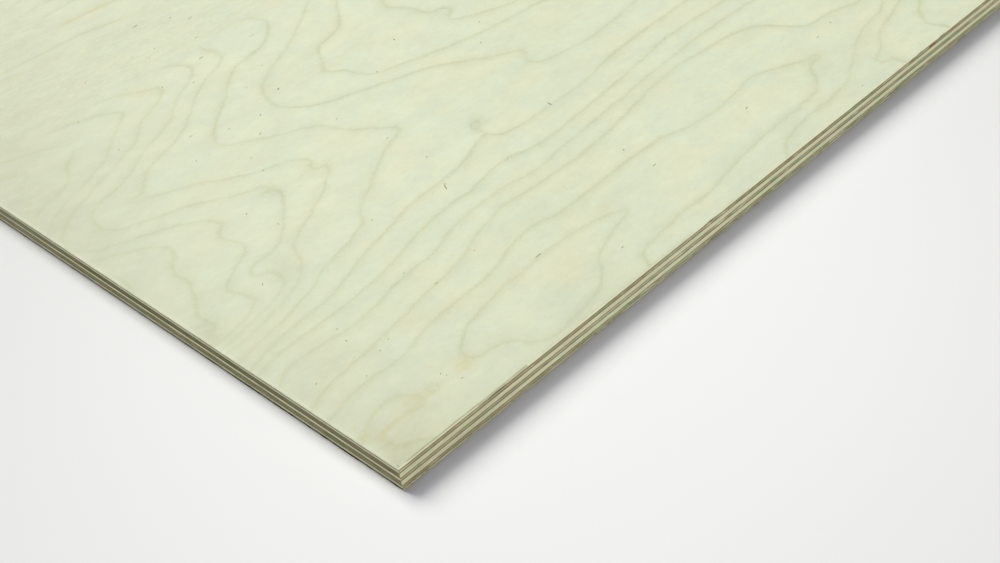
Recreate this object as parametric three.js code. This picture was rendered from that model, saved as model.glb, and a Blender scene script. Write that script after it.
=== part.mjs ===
// A full sheet of seven-ply hardwood-faced plywood, lying flat on its back veneer.
//
// Frame: millimetres, +X along the long side and the face grain, +Y along the short side, +Z up.
// The origin is the centre of the underside.
//
// The odd plies have their grain along X and the even plies, the crossbands, along Y.
// A thin film of dark glue joins each ply to the next, which makes thirteen layers.
import * as THREE from "three";

// The sheet's outline.
const LENGTH = 2440;
const WIDTH = 1220;

// The layers' thicknesses. Together they are the sheet's 12 mm.
const FACE_VENEER = 1.0;
const BACK_VENEER = 1.0;
const CROSSBAND = 1.5;
const CORE_PLY = 2.45;
const GLUE_FILM = 0.1;

// Splinters torn out of the face veneer's arris along one long edge.
// Each is a ragged notch: where it starts and ends, in mm from the corner, and how deep it goes.
const FACE_CHIPS = [
  { start: 54, end: 70, depth: 0.35 },
  { start: 103, end: 118, depth: 0.35 },
  { start: 184, end: 194, depth: 0.9 },
  { start: 353.5, end: 357, depth: 0.8 },
  { start: 373, end: 376.5, depth: 0.7 },
];

// The same for the back veneer, along the short edge that meets that corner.
// The saw left it there and tore across the grain, so these chips are closer together.
const BACK_CHIPS = [
  { start: 8, end: 13, depth: 0.6 },
  { start: 49, end: 61, depth: 0.7 },
  { start: 72, end: 76, depth: 0.9 },
  { start: 85, end: 95, depth: 0.5 },
  { start: 144, end: 164, depth: 1.0 },
  { start: 172, end: 192, depth: 0.8 },
  { start: 257, end: 263, depth: 0.9 },
];

// A ragged notch has this outline: how far along it, and what share of its full depth.
const RAGGED = [
  { along: 0, share: 0 },
  { along: 0.18, share: 0.55 },
  { along: 0.34, share: 0.4 },
  { along: 0.52, share: 1 },
  { along: 0.7, share: 0.6 },
  { along: 0.86, share: 0.7 },
  { along: 1, share: 0 },
];

// Neighbouring layers must meet on exactly the same height. A height on this binary grid
// is the same number in double and in single precision.
const STEPS_PER_MM = 1024;

function onGrid(height) {
  return Math.round(height * STEPS_PER_MM) / STEPS_PER_MM;
}

// The points of a chipped edge, as distance along it and depth into the sheet.
function chippedEdge(chips) {
  return chips.flatMap((chip) =>
    RAGGED.map((point) => ({
      along: chip.start + (chip.end - chip.start) * point.along,
      into: chip.depth * point.share,
    })),
  );
}

// The sheet's outline, with chips out of the long edge at -Y and the short edge at -X.
function outline(longEdgeChips, shortEdgeChips) {
  const x = LENGTH / 2;
  const y = WIDTH / 2;
  const shape = new THREE.Shape();
  shape.moveTo(-x, -y);
  for (const point of chippedEdge(longEdgeChips)) {
    shape.lineTo(-x + point.along, -y + point.into);
  }
  shape.lineTo(x, -y);
  shape.lineTo(x, y);
  shape.lineTo(-x, y);
  for (const point of chippedEdge(shortEdgeChips).reverse()) {
    shape.lineTo(-x + point.into, -y + point.along);
  }
  shape.closePath();
  return shape;
}

// Wood as a plain material: its colour, and how rough it is.
function wood(colour, roughness) {
  return new THREE.MeshStandardMaterial({ color: colour, roughness, metalness: 0 });
}

const FACE_WOOD = wood(0xd3d6bb, 0.62);
const LONG_GRAIN = wood(0xbdbca0, 0.7);
const END_GRAIN = wood(0x8b8866, 0.85);
const GLUE = wood(0x55503c, 0.5);

// The layers from the bottom up.
const LAYERS = [
  { name: "back_veneer", thickness: BACK_VENEER, material: FACE_WOOD, backChips: BACK_CHIPS },
  { name: "glue_line_6", thickness: GLUE_FILM, material: GLUE },
  { name: "crossband_lower", thickness: CROSSBAND, material: END_GRAIN },
  { name: "glue_line_5", thickness: GLUE_FILM, material: GLUE },
  { name: "core_ply_lower", thickness: CORE_PLY, material: LONG_GRAIN },
  { name: "glue_line_4", thickness: GLUE_FILM, material: GLUE },
  { name: "centre_crossband", thickness: CROSSBAND, material: END_GRAIN },
  { name: "glue_line_3", thickness: GLUE_FILM, material: GLUE },
  { name: "core_ply_upper", thickness: CORE_PLY, material: LONG_GRAIN },
  { name: "glue_line_2", thickness: GLUE_FILM, material: GLUE },
  { name: "crossband_upper", thickness: CROSSBAND, material: END_GRAIN },
  { name: "glue_line_1", thickness: GLUE_FILM, material: GLUE },
  { name: "face_veneer", thickness: FACE_VENEER, material: FACE_WOOD, faceChips: FACE_CHIPS },
];

const sheet = new THREE.Group();
sheet.name = "plywood_sheet";

let height = 0;
for (const layer of LAYERS) {
  const bottom = onGrid(height);
  height += layer.thickness;
  const top = onGrid(height);
  const shape = outline(layer.faceChips ?? [], layer.backChips ?? []);
  const geometry = new THREE.ExtrudeGeometry(shape, { depth: top - bottom, bevelEnabled: false });
  geometry.translate(0, 0, bottom);
  const mesh = new THREE.Mesh(geometry, layer.material);
  mesh.name = layer.name;
  sheet.add(mesh);
}

export default sheet;
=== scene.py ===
"""The looks of a full sheet of seven-ply birch plywood that lies on a pale studio floor.

Each ply of the frame is replaced by a piece of the same outline and thickness, with rough sawn
edges, chips and a veneer figure. The glue films stay as packed and get a resin material.

Places on the sheet are in millimetres from its near corner, which the camera looks at:
u runs along the long edge (+X), v along the short edge (+Y) and z up from the floor.
"""
import math

import bpy
import numpy as np
from mathutils import Matrix, Vector


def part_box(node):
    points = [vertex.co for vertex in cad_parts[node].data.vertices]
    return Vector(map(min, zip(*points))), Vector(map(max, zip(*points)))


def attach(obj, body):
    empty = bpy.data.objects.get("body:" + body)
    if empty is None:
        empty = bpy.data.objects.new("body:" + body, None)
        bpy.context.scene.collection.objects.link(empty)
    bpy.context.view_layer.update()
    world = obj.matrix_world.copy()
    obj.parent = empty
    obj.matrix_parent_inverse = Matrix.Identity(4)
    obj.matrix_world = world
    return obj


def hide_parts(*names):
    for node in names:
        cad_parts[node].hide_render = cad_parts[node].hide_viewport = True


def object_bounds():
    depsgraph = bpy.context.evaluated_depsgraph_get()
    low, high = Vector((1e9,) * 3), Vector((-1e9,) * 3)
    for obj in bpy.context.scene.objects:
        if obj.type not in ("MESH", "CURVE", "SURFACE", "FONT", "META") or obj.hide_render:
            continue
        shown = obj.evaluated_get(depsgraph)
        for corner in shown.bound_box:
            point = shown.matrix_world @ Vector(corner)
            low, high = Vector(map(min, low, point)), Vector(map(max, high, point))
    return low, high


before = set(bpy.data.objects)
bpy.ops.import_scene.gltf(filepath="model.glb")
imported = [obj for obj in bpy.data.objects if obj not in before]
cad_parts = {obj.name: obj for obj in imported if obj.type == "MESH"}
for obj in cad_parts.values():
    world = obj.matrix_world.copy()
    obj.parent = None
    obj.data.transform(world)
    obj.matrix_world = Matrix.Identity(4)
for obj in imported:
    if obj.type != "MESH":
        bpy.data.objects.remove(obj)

MM = 0.001
CAD_LOW, CAD_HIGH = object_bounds()
LENGTH = (CAD_HIGH.x - CAD_LOW.x) / MM
WIDTH = (CAD_HIGH.y - CAD_LOW.y) / MM
TOP = (CAD_HIGH.z - CAD_LOW.z) / MM

# ---------------------------------------------------------------- camera and light

# The camera's place is measured from the near corner's top, in metres.
CAMERA_FROM_CORNER = Vector((-0.23885, -0.36512, 0.43401))
CAMERA_HEADING = 50.2177  # degrees from +X towards +Y
CAMERA_DOWN = 38.9955
CAMERA_ROLL = -9.2891     # the horizon rises to the right
CAMERA_LENS = 57.396
CAMERA_SENSOR = 36        # mm wide
CAMERA_CLIP = (0.01, 200)

# Each sun is (name, heading it shines from, height, angle across, share of white on a face
# that looks straight at it, colour). Headings are in degrees from +X towards +Y.
SUNS = [
    ("key_sun", 88.5, 46.3, 38, 0.878, (1.0, 1.0, 0.915)),
    ("high_sun", 88.5, 67, 40, 0.155, (1.0, 1.0, 0.915)),
    ("front_fill", 275, 8, 16, 0.448, (1.0, 1.0, 1.04)),
]
SKY_LEVEL = 0.134
SKY_COLOUR = (0.985, 1.0, 1.45)
SKY_SEEN = (0.9, 0.9, 0.89)

# The floor's level carries a painted pool of light: brightest round a place under the sheet
# and falling off from there, less along one way.
FLOOR_SIZE = 40.0         # metres
FLOOR_DROP = 0.0004       # how far it lies under the sheet, in metres
FLOOR_ROUGHNESS = 0.9
FLOOR_CENTRE = (148, 75)
FLOOR_TURN = 37.7
FLOOR_SQUEEZE = 1.246
FLOOR_WHITE = 0.935       # its share of white there
FLOOR_DIM = 0.82          # and where it is dimmest
FLOOR_REACH = 274.0       # how far out it falls off, and how steeply
FLOOR_POWER = 4.0
FLOOR_RISE = (340, 1500)  # from here to there, out of the picture, it slowly turns pale again
FLOOR_PALE_AGAIN = 0.9    # by this share

# The floor's blue, as a share of its red. Beside the sheet the tint is painted light: out to
# about 20 mm it is bluer, making up for the bluish sky light that the sheet hides, and within
# about a millimetre it is yellower, a painted hint of light thrown back from the wood.
FLOOR_BLUE = 0.985
FLOOR_BLUE_BESIDE = 1.008
FLOOR_BESIDE = (5, 20)    # from here to there, out from the sheet, the one turns into the other
FLOOR_BLUE_AT_EDGE = 0.91
FLOOR_AT_EDGE = (0.2, 1.2)

# ---------------------------------------------------------------- the mesh of a ply

FINE_LONG = 450           # how far from the near corner each edge is finely divided
FINE_SHORT = 320
FINE_STEP = 0.7
COARSE_STEP = 8.0
FACE_FINE = (440, 460)    # the part of the face with the fine grid, and both grids' cells
FACE_FINE_CELL = (3.0, 2.0)
FACE_CELL = (20.0, 9.5)
BACK_CELL = (14.5, 9.5)
HIDDEN_CELL = (61.0, 61.0)
RIM = 1.6                 # the faces' grids start this far inside the outline
ROW_HEIGHT = 0.22         # between the rows of points on an inner ply's edge
VENEER_ROWS = 5           # rows on an outer veneer's edge, from the foot of its arris down
FACE_SLOT = 0             # an outer veneer's material slots
EDGE_SLOT = 1
ARRIS_TURNS = [0, 22.5, 45, 67.5, 90]  # the rows round the arris, in degrees
ARRIS_IN = 0.3            # the sanded arris reaches this far in, and this far down
ARRIS_DOWN = 0.16
BACK_ARRIS = 0.4          # the back's arris is this share of the face's
SHORT_ARRIS = 0.25        # on a short edge an arris reaches in by this share
GUARDS = (0.65, 0.2)      # rings this far inside the arris keep its shading off the face
FACE_SINK = 0.03          # the top face stays this far under the frame's top, for the flecks
LONG_GRAIN_DEPTH = 0.035  # how deep the saw's roughness goes, by the way the grain runs
END_GRAIN_DEPTH = 0.09
SIDES_APART = 7           # mm between the sides' patterns, so that none repeats another's
FACE_FRAY = (0.14, 0.02)  # how far the veneers' outer edges are frayed, long and short
BACK_FRAY = (0.4, 0.3)
FRAY_SHARES = ([0, 0.4, 0.8], [1, 1, 0.1])  # by how far below the outer face

# Splinters torn out of the face veneer along the long edge, and out of the back veneer along
# the short edge: where each starts and ends and how deep it goes.
FACE_CHIPS = [(49, 60, 0.25), (186, 194, 0.3), (353.5, 357, 0.4), (373, 376.5, 0.35)]
BACK_CHIPS = [(5, 28, 0.12), (49, 61, 0.12), (62, 80, 0.12), (84, 132, 0.15), (124, 170, 0.5),
              (164, 202, 0.5), (196, 236, 0.45), (230, 268, 0.5), (260, 312, 0.4)]
RAGGED_ALONG = [0, 0.18, 0.34, 0.52, 0.7, 0.86, 1]  # a splinter's outline
RAGGED_SHARE = [0, 0.55, 0.4, 1, 0.6, 0.7, 0]
# Where loose fibres stand along the long edge's arris (start, end, how many), and the longer
# slivers there: (place, how far down, length, rise).
SPLINTERED = [(48, 80, 26), (100, 121, 18), (150, 192, 44), (230, 236, 5), (350, 380, 20), (2, 44, 12)]
SLIVERS = [(184.5, 0.9, 4.5, 0.4), (186.8, 1.3, 3.5, 0.8), (192.2, 1.0, 2.4, 0.5),
           (353.8, 0.6, 3.2, -0.9), (354.9, 1.4, 2.4, -0.7), (373.6, 0.5, 3.4, -0.8),
           (375, 1.3, 2.0, -0.8), (6, 0.4, 9, 0.1)]
BACK_FIBRES = 330         # how many fringe the back veneer's long edge, over this length
BACK_FRINGE = 470
INSIDE = 0.01             # loose fibres stay this far inside the sheet's box

# ---------------------------------------------------------------- the face veneer's figure

# The growth rings that show on the face near the corner. The rings are the lines where a
# smooth field over the face passes a whole number: each line is that number and the points
# that a curve runs through.
RING_LINES = [
    (0, [(93, 3), (117, 5.5), (130, 11), (137, 17), (142, 23), (160, 30), (175, 35), (160, 42),
         (133, 45), (110, 43.3), (93, 42), (73, 37), (61, 27), (62, 22), (77, 17), (85, 7), (93, 3)]),
    (1, [(0, 42), (15, 46), (30, 47.5), (45, 46.5), (68, 52), (85, 52.8), (103, 54), (122, 59.5),
         (140, 62.5), (153, 59.5), (175, 59), (200, 60), (228, 59), (240, 54), (260, 52), (280, 54),
         (293, 56), (305, 50), (320, 43), (327, 39.5), (322, 37.5), (312, 33), (304, 24), (290, 19.5),
         (262, 19), (238, 18), (210, 13), (185, 12.5), (158, 10), (153, 6), (150, 0)]),
    (2, [(0, 53), (15, 58), (45, 62), (80, 68), (103, 72), (122, 79), (145, 84.5), (155, 83),
         (180, 82), (205, 82), (240, 88), (260, 91), (280, 93), (300, 91), (320, 88), (333, 82),
         (339, 71), (345, 62), (365, 58), (380, 53)]),
    (3, [(0, 72), (10, 80), (25, 80.5), (50, 78.5), (80, 84), (100, 85.5), (118, 91.5), (145, 94),
         (160, 93), (175, 91), (205, 94), (240, 97), (280, 100), (320, 102), (350, 100)]),
    (4, [(0, 87), (20, 91), (53, 91), (85, 96), (112, 103), (135, 106), (142, 104.5), (155, 107),
         (172, 109), (190, 104.5), (220, 106), (260, 110), (300, 115), (340, 113)]),
    (5, [(0, 92), (20, 98), (52, 101), (75, 109), (100, 116), (122, 121), (155, 124), (172, 130),
         (182, 132), (185, 126), (200, 123), (240, 123), (280, 129), (330, 130)]),
    (6, [(0, 101), (20, 104), (48, 111), (62, 118), (80, 122.5), (96, 129), (105, 140), (122, 150),
         (140, 163), (156, 169), (160, 175), (145, 194), (138, 210), (120, 221), (107, 231),
         (98, 240), (108, 256), (125, 270), (140, 285), (150, 293), (170, 297), (183, 306),
         (190, 316), (185, 329), (165, 335), (130, 345), (90, 353), (50, 368)]),
    (7, [(0, 109), (20, 111.5), (40, 117), (53, 122.5), (63, 135), (67, 144), (83, 153), (100, 162),
         (115, 174), (118, 179), (112, 183), (116, 191), (107, 199), (90, 206), (73, 220),
         (55, 230), (42, 237.5), (52, 241), (62.5, 253), (82, 260), (100, 270), (117, 285),
         (133, 297), (146, 302), (152, 309), (152, 318), (145, 327), (122, 337), (80, 346), (40, 359)]),
    (8, [(0, 113), (20, 116), (40, 121.5), (48, 128), (47, 137), (41, 141), (45, 147), (64, 150),
         (80, 166), (91, 182), (85, 187), (89, 192), (73, 199), (57, 210), (27, 222.5), (20, 232),
         (26, 247), (50, 255), (75, 270), (97, 280), (108, 292), (128, 304), (135, 316),
         (125, 328), (100, 335), (60, 344), (0, 364)]),
    (9, [(0, 117), (20, 120.5), (30, 127), (30, 135), (27.5, 142), (37, 151), (51, 159),
         (52.5, 167), (50, 177), (57.5, 188), (48, 199), (28, 210), (8, 219), (1.3, 230), (3, 240),
         (15, 252), (47, 267.5), (72, 278), (87, 292), (105, 301), (112, 309), (100, 321),
         (85, 328), (60, 335), (0, 352)]),
    (10, [(0, 123), (9, 133), (8, 140), (20, 160), (20, 173), (31, 191), (20, 203), (0, 215)]),
    (10, [(0, 248), (17, 262.5), (33, 269), (53, 278), (72, 295), (86, 308), (78, 317), (55, 326),
          (0, 342)]),
    (11, [(0, 262), (10, 270), (30, 277), (40, 292), (52, 303), (46, 312), (28, 321), (0, 332)]),
    (12, [(0, 273), (8, 278), (12, 292), (22, 304), (10, 312), (0, 316)]),
    (6, [(318, 153), (280, 149), (262, 151), (247, 154), (241, 160), (248, 170), (228, 185),
         (212, 199), (180, 212.5), (157, 221), (147, 227), (138, 242), (142.5, 260), (157, 272.5),
         (177, 282), (200, 297.5), (219, 312)]),
    (7, [(288, 198), (262, 201), (238, 205), (215, 212), (187, 222.5), (182, 237.5), (175, 245),
         (182, 257), (188, 267.5), (210, 275), (217, 283), (228, 298)]),
    (8, [(283, 209), (265, 217), (252, 224), (250, 229), (258, 237), (250, 242), (244, 260),
         (240, 268)]),
    (1, [(247, 0), (252, 5), (260, 10), (280, 13), (310, 13.5), (322, 18), (340, 28), (355, 35),
         (375, 38), (386, 43)]),
    (0, [(343, 0), (342, 8), (337, 13), (350, 20), (362, 28), (375, 31.5), (390, 35)]),
    (-1, [(382, 0), (380, 10), (384, 18), (396, 27)]),
    (0, [(22, 0), (19, 3), (15, 6), (10, 8.5), (7.5, 11), (7.8, 14.5), (8.5, 17.5), (13, 19.7),
         (22, 20), (28, 18), (33, 17.5), (38, 19.3), (43, 20.5), (37, 23), (32, 25.5), (30, 28.5),
         (27, 31.5), (22, 31.9), (17, 31.3), (12, 29.5), (8, 27), (4, 24.5), (0, 22.5)]),
    (5, [(200, 339), (165, 340), (140, 344), (100, 358), (60, 376)]),
    (4, [(198, 345), (160, 348), (130, 355), (100, 364), (62, 384)]),
    (3, [(192, 353), (150, 358), (110, 370), (70, 390)]),
    (2, [(64, 396), (80, 392), (100, 389), (140, 383), (175, 376)]),
    (1, [(70, 403), (100, 401), (120, 400), (140, 395), (157, 390), (170, 392)]),
    (0, [(100, 424), (120, 420), (150, 417), (168, 412)]),
    (-1, [(88, 437), (110, 437), (142, 439)]),
    (-2, [(98, 449), (130, 452)]),
]
# Heights between those lines, which keep the field from making lines of its own there.
BETWEEN_LINES = [
    (1.15, [(253, 12), (262, 14.5), (276, 16.2), (294, 16.4), (303, 18), (312, 24), (320, 30),
            (332, 35)]),
    (0.7, [(268, 5), (300, 5)]), (0.6, [(200, 36), (235, 38), (275, 36), (300, 38)]),
    (1.45, [(220, 70), (262, 72), (300, 72)]), (1.3, [(180, 4), (215, 4)]), (-0.4, [(110, 25)]),
    (0.45, [(30, 10), (50, 8), (70, 3)]), (0.45, [(15, 13), (52, 22)]),
    (0.48, [(18, 38), (50, 32)]), (-0.3, [(3, 6), (3, 16)]), (-0.25, [(12, 24), (25, 25)]),
    (0.5, [(135, 5)]), (5.45, [(190, 160), (215, 160)]), (5.4, [(175, 190), (140, 225)]),
    (5.2, [(215, 335)]), (6.45, [(170, 308), (172, 318), (165, 328)]), (6.5, [(280, 176)]),
    (9, [(275, 240)]), (12.4, [(8, 300)]),
]
LINE_STEP = 9.0           # mm between the places at which the field is held to a line
RING_SMOOTHING = 1e-4
RING_UNIT = 100.0         # mm to the unit in which the field is fitted

# Past these lines the field turns into a natural one, over this distance. Each line is a
# point on it and the direction, in degrees, in which the field fades.
FADE_LINES = [((415, 0), 31.9), ((0, 290), 148.5), ((100, 455), 90)]
FADE_LENGTH = 200.0

# The natural field: the log's swell as it is peeled, turn by turn.
PEEL_TURN = 440.0         # mm of veneer to one turn of the log
PEEL_START = 25.0
RING_MEAN = 5.0
RING_SWING = 4.6
# The waves in it: how high, the (length, width) of their hills in mm, and the number that sets
# one's chance apart from another's.
WAVES = {
    "across": (30, (330, 130), 0),     # mm
    "small_across": (5, (60, 26), 1),
    "along": (70, (240, 100), 2),
    "turn": (0.9, (620, 1), 3),        # radians of the log's turn
    "swing": (0.45, (700, 900), 4),    # a share of the swing
    "broad": (2.4, (360, 120), 5),     # rings
    "middling": (0.7, (120, 46), 6),
    "fine": (0.05, (34, 13), 7),
}
LEAN_CENTRE = (85, 225)   # round this place the wood darkens before each ring line
LEAN_REACH = 95
# The back takes this share of the face's painted shade.
BACK_PAINTED_SHADE = 0.5           # how dull the back's edges are, as a share of the face's

# Soft marks on the face: how strong, how wide, and the line that each follows.
TAN_MARKS = [
    (1.0, 4.5, [(32, 22), (27, 22)]),
    (0.8, 2.2, [(38, 20), (27, 19), (15, 20), (9, 19)]),
    (0.75, 3.5, [(7, 18), (3, 23)]),
    (0.3, 6, [(14, 25), (24, 26)]),
    (0.35, 13, [(8, 8), (22, 14)]),
    (1.0, 4, [(56, 20), (60, 24)]),
    (0.4, 4, [(116.6, 145.7), (112, 141)]),
    (0.3, 3.5, [(117, 175), (112, 186)]),
    (0.25, 5, [(211, 201), (230, 181)]),
    (0.9, 2.5, [(122, 419.5), (137, 418), (150, 417)]),
    (0.3, 3.5, [(60, 392), (80, 391.5), (103, 391)]),
    (0.35, 3.5, [(130, 398), (145, 393), (160, 390)]),
    (0.35, 2.5, [(185, 329), (165, 335), (142, 339)]),
    (0.35, 4, [(103, 318), (111, 309)]),
    (0.4, 4, [(152, 314), (150, 322)]),
    (0.3, 5, [(316, 37), (326, 39)]),
    (0.4, 4, [(168, 44), (174, 46)]),
    (0.4, 3, [(87, 184), (91, 190)]),
    (0.3, 6, [(60, 60), (110, 45)]),
    (0.8, 1.3, [(50, 0), (78, 0)]),
    (0.8, 1.3, [(102, 0), (118, 0)]),
    (0.5, 1.2, [(146, 0), (178, 0)]),
    (0.25, 7, [(122, 22), (132, 30)]),
]
OLIVE_MARKS = [
    (0.36, 2.5, [(5, 19), (8, 10), (13, 7)]),
    (0.32, 5, [(2, 2), (12, 4)]),
    (0.22, 7, [(10, 60), (30, 70)]),
    (0.25, 4, [(190, 141), (189, 146)]),
    (0.36, 1.5, [(180.5, 132), (181.5, 135), (181.2, 138)]),
    (3.5, 0.35, [(5, 0.5), (44, 0.5)]),
    (2.5, 0.4, [(44, 0.3), (72, 0.3)]),
    (0.43, 5, [(1, 122), (6, 132)]),
    (0.22, 7, [(50, 130), (56, 138)]),
    (0.12, 3, [(88, 182), (90, 188)]),
    (0.5, 1.0, [(82, 0), (98, 0)]),
    (0.5, 1.0, [(120, 0), (178, 0)]),
    (0.45, 1.0, [(200, 0), (218, 0)]),
]
KNOT = ((183.8, 141.9), 3.5, 2.2, 45)  # its centre, half length, half width and heading

# Dark pith flecks that show near the corner: (u, v, length, width, turn, darkness).
FLECKS = [
    (127, 45.5, 4.2, 1.0, 4, 1.0), (139, 117, 5, 0.9, 62, 1.0), (140.5, 119, 2.6, 0.7, 118, 0.9),
    (218.5, 124, 4, 1.3, 86, 1.0), (149, 254.5, 2.6, 1.5, 30, 0.9), (217.5, 238, 2.4, 1.5, 70, 0.9),
    (94, 258.5, 3, 0.8, 4, 0.8), (87, 69, 2.2, 0.8, 10, 0.7), (37.5, 73, 2, 0.9, 60, 0.6),
    (40, 133, 1.8, 1.0, 40, 0.7), (101, 127, 1.6, 0.8, 20, 0.6), (151, 142.5, 1.8, 1.1, 30, 0.8),
    (208, 47, 3, 0.8, 8, 0.8), (209, 67, 1.6, 1.1, 60, 0.9), (12, 63, 1.8, 0.8, 30, 0.6),
    (83, 86, 1.8, 0.7, 10, 0.6), (40, 82, 1.6, 0.8, 0, 0.5), (172.5, 108.5, 1.5, 0.8, 30, 0.6),
    (153, 19, 2, 0.8, 15, 0.6), (113, 71.5, 1.6, 0.7, 0, 0.5), (69, 181, 1.8, 1.1, 60, 0.7),
    (151, 171, 1.6, 0.9, 20, 0.6), (73, 162, 1.6, 0.8, 80, 0.5), (96.5, 202.5, 2.2, 1.0, 10, 0.9),
    (100, 216, 1.6, 0.8, 80, 0.6), (148, 206, 1.5, 0.8, 20, 0.5), (82, 238, 1.6, 1.0, 50, 0.7),
    (127.5, 243, 2.4, 0.9, 30, 0.8), (190, 221.5, 1.6, 1.2, 30, 0.9), (116.5, 229.5, 2.6, 0.9, 35, 0.8),
    (110, 247, 1.8, 0.9, 30, 0.7), (140, 270.5, 1.6, 0.8, 20, 0.6), (64.5, 281, 1.8, 0.9, 30, 0.7),
    (159, 281, 1.6, 0.8, 10, 0.6), (127, 300, 2.4, 0.9, 10, 0.8), (145, 317, 4, 1.2, 12, 0.9),
    (114, 311, 2, 1.0, 60, 0.7), (176, 311, 4, 0.7, 6, 0.5), (168.5, 358.5, 4.2, 1.0, 20, 0.8),
    (162, 369, 3, 1.1, 35, 0.8), (144.5, 379.5, 4.6, 1.1, 12, 1.0), (136, 348.5, 2.6, 0.8, 40, 0.7),
    (123, 352, 3, 0.8, 0, 0.5), (92, 352.5, 2.6, 0.6, 50, 0.6), (67, 322, 1.8, 0.9, 60, 0.8),
    (128, 342, 2.2, 0.7, 20, 0.6), (157, 337.5, 2.4, 0.9, 20, 0.7), (269, 40.5, 3, 0.9, 5, 0.8),
    (241, 195, 1.8, 1.3, 60, 0.8), (256, 211, 2, 1.0, 20, 0.7), (340, 50, 2.8, 0.6, 12, 0.6),
    (355, 53, 2.4, 0.8, 50, 0.6), (315, 6, 2.4, 0.7, 30, 0.6), (297, 115, 1.8, 0.8, 20, 0.6),
    (47.5, 25.5, 2.0, 0.9, 60, 0.4), (48.5, 23, 1.5, 0.8, 40, 0.35), (51, 16.5, 1.6, 1.0, 0, 0.35),
    (28, 49.5, 2.4, 0.6, 45, 0.35), (42, 56.5, 1.3, 1.1, 60, 0.5), (49, 59, 1.6, 0.8, 20, 0.35),
]
RANDOM_FLECKS = 1100      # scattered over the whole face
FLECK_CORNERS = 10
FLECK_LENGTH = 0.9        # these scale all flecks alike
FLECK_WIDTH = 0.6
FLECK_DARKNESS = 0.75
FLECK_RAGGED = (-0.3, 0.25)  # how far a fleck's outline strays, as shares of its size
FLECK_THICKNESS = 0.008
FLECK_RISE = 0.006        # how far above the face it starts
FLECK_SHARE_SEEN = 0.7    # how large and dark the scattered ones are near the corner

# ---------------------------------------------------------------- colours, as sRGB levels

CREAM = (226, 229, 197)
MINT = (219, 227, 200)
LEAF = (206, 225, 186)
STRAW = (213, 215, 180)
LATE_WOOD = (192, 197, 158)
TAN_LINE = (204, 202, 162)
TAN = (206, 198, 148)
OLIVE = (168, 170, 130)
# The face's colour where painted shade falls, by the corner and along the edges.
PAINTED_SHADE_TONE = (201, 204, 177)
PALE_GRAIN = (213, 215, 171)
PALE_GRAIN_DIM = (219, 211, 172)
BRIGHT_GRAIN = (236, 233, 193)
# The next two are pale face wood with a painted highlight where the sanded arris catches the light, the
# second brighter, for the short edges. The first also gives the face its pale specks.
PALE_WOOD_AND_ARRIS_HIGHLIGHT = (240, 240, 204)
SHORT_ARRIS_WOOD_AND_HIGHLIGHT = (254, 254, 224)
KNOT_WOOD = (158, 158, 124)
BY_GLUE = (78, 77, 46)
GLUE_COLOURS = ((84, 80, 50), (102, 84, 54))
FLECK_COLOURS = ((198, 200, 162), (122, 124, 86))
SPLINTER_COLOURS = ((246, 245, 226), (206, 198, 162))
BACK_FIBRE_COLOURS = ((190, 192, 132), (120, 116, 70))

# Soft patches on the sawn edges: (which edge, start, end, colour, share).
LIGHT_PATCH = ("long", 154, 184, (206, 206, 172), 0.35)
LONG_LIGHT_PATCH = ("long", 98, 184, (204, 204, 170), 0.3)
BROWN_END = ("long", -30, 60, (158, 146, 112), 0.18)
BROWN = ("long", -40, 130, (174, 154, 120), 0.35)

# The outer veneers' edges: how far down they are pale, the colours where the saw ran with the
# grain and where it cut across it, the colour by the glue, and patches. On the face veneer the
# pale band carries a painted highlight along the arris.
FACE_EDGE = (0.4, (PALE_GRAIN, PALE_GRAIN_DIM), ((186, 186, 148), (164, 164, 126)), (124, 116, 82))
# The back veneer's end grain is dark wood made darker still as painted shade where the short edge meets
# the floor; its short-edge patch from 138 mm on makes that painted shade weaker.
BACK_EDGE = (0.25, ((166, 169, 116), (212, 208, 171)), ((36, 35, 14), (58, 56, 30)), (112, 112, 78),
             (BROWN_END, LONG_LIGHT_PATCH, ("short", 138, 420, (128, 126, 98), 0.3)))

# The inner plies from the top down: the node, whether its grain runs along X, the seeds of its
# roughness and its pattern, two colours where the saw ran with the grain, three where it cut
# across it, how strongly it turns dark by the glue above and below, and patches.
INNER_PLIES = [
    ("crossband_upper", False, 301, 3.0, ((215, 222, 178), (221, 219, 180)),
     ((154, 168, 124), (166, 154, 116), (202, 202, 165)), (0.65, 0.9),
     (BROWN, LIGHT_PATCH, ("long", 354, 376, (164, 170, 126), 0.55),
      ("long", 362.8, 369, (120, 62, 38), 0.75))),
    ("core_ply_upper", True, 311, 31.0, ((208, 210, 169), (214, 207, 170)),
     ((120, 125, 84), (136, 123, 90), (150, 146, 110)), (0.6, 0.5),
     (BROWN_END, ("short", 70, 222, (70, 80, 40), 0.2), ("short", -30, 86, (150, 142, 108), 0.3),
      ("short", 236, 420, (150, 160, 124), 0.35))),
    ("centre_crossband", False, 321, 47.0, (BRIGHT_GRAIN, PALE_GRAIN),
     ((160, 175, 130), (173, 162, 121), (208, 210, 172)), (0.5, 0.7),
     (BROWN, LONG_LIGHT_PATCH, ("short", 256, 420, (170, 172, 136), 0.3))),
    ("core_ply_lower", True, 331, 59.0, ((213, 216, 175), (219, 212, 176)),
     ((130, 134, 94), (148, 142, 106), (156, 148, 114)), (0.85, 0.2), (BROWN_END,)),
    ("crossband_lower", False, 341, 71.0, ((219, 216, 178), (203, 202, 161)),
     ((155, 174, 128), (168, 160, 119), (204, 208, 170)), (0.8, 0.15),
     (BROWN, LIGHT_PATCH, ("long", -30, 52, (140, 122, 80), 0.28),
      ("long", -30, 14, (120, 100, 66), 0.3))),
]


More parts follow.
